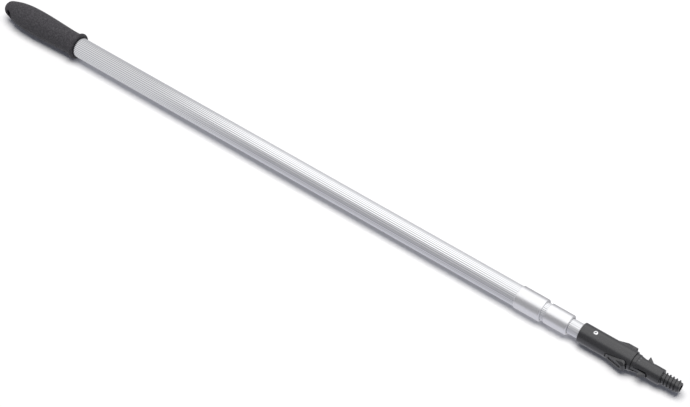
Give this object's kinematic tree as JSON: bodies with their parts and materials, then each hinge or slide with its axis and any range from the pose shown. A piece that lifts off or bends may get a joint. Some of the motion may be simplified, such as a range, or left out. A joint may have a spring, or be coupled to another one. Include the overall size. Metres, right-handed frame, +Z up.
{
  "type": "telescopic window cleaning pole",
  "caption": "Telescopic aluminium pole for window squeegees, collapsed, with a rubber grip, twist locks and a spring lever tip ending in a coarse thread.",
  "frame": {"origin": "centre of the bounding box seen from above, on the level that the grip's front bead rests on", "axes": "+X along the pole from the hanging end of the grip to the threaded tip, +Z up with the tip's rivet, the two squeeze levers towards +Y and -Y"},
  "size_m": [1.258, 0.043, 0.043],
  "materials": {
    "grip_rubber": "finely pebbled charcoal",
    "tube_aluminium": "satin anodised, lengthwise flutes",
    "collar_aluminium": "smooth satin anodised",
    "bush_plastic": "plain moulded",
    "inner_plastic": "plain moulded",
    "shoe_plastic": "plain moulded acetal",
    "tip_plastic": "satin moulded black",
    "lever_plastic": "satin moulded black",
    "rivet_aluminium": "bright",
    "steel": "zinc plated",
    "spring_steel": "bright spring wire"
  },
  "bodies": {
    "outer_section": {"grip": "grip_rubber", "outer_tube": "tube_aluminium", "butt_plug": "inner_plastic", "outer_collar": "collar_aluminium", "outer_bush": "bush_plastic"},
    "middle_shoe": {"middle_lock_shoe": "shoe_plastic"},
    "middle_nut": {"middle_cone_nut": "inner_plastic"},
    "middle_section": {"middle_tube": "tube_aluminium", "middle_collar": "collar_aluminium", "middle_bush": "bush_plastic", "middle_lock_plug": "inner_plastic", "middle_lock_washer": "steel", "middle_lock_screw": "steel"},
    "inner_shoe": {"inner_lock_shoe": "shoe_plastic"},
    "inner_nut": {"inner_cone_nut": "inner_plastic"},
    "inner_section": {"inner_tube": "tube_aluminium", "inner_lock_plug": "inner_plastic", "inner_lock_washer": "steel", "inner_lock_screw": "steel", "tip_body": "tip_plastic", "tip_rivet": "rivet_aluminium", "stop_pins": "steel", "lever_pins": "steel", "left_lever_spring": "spring_steel", "right_lever_spring": "spring_steel"},
    "left_lever": {"left_lever": "lever_plastic"},
    "right_lever": {"right_lever": "lever_plastic"}
  },
  "joints": [
    {"name": "middle_slide", "type": "slide", "parent": "outer_section", "child": "middle_shoe", "axis": [1, 0, 0], "range_m": [-0.006, 0.85]},
    {"name": "middle_twist", "type": "hinge", "parent": "middle_shoe", "child": "middle_section", "pos_m": [-0.526, 0, 0.0215], "axis": [1, 0, 0], "range_deg": [0, 270]},
    {"name": "middle_nut_travel", "type": "slide", "parent": "middle_shoe", "child": "middle_nut", "axis": [1, 0, 0], "range_m": [-0.0024, 0]},
    {"name": "inner_slide", "type": "slide", "parent": "middle_section", "child": "inner_shoe", "axis": [1, 0, 0], "range_m": [-0.018, 0.8]},
    {"name": "inner_twist", "type": "hinge", "parent": "inner_shoe", "child": "inner_section", "pos_m": [-0.421, 0, 0.0215], "axis": [1, 0, 0], "range_deg": [0, 270]},
    {"name": "inner_nut_travel", "type": "slide", "parent": "inner_shoe", "child": "inner_nut", "axis": [1, 0, 0], "range_m": [-0.0024, 0]},
    {"name": "left_lever_squeeze", "type": "hinge", "parent": "inner_section", "child": "left_lever", "pos_m": [0.521, 0.0096, 0.0215], "axis": [0, 0, -1], "range_deg": [0, 7], "stiffness_Nm_per_rad": 0.42, "springref_deg": -11.46, "deforming": ["left_lever_spring"]},
    {"name": "right_lever_squeeze", "type": "hinge", "parent": "inner_section", "child": "right_lever", "pos_m": [0.521, -0.0096, 0.0215], "axis": [0, 0, 1], "range_deg": [0, 7], "stiffness_Nm_per_rad": 0.42, "springref_deg": -11.46, "deforming": ["right_lever_spring"]}
  ],
  "couplings": [
    {"joint": "middle_nut_travel", "follows": "middle_twist", "m_per_rad": -0.00047746},
    {"joint": "inner_nut_travel", "follows": "inner_twist", "m_per_rad": -0.00047746}
  ]
}
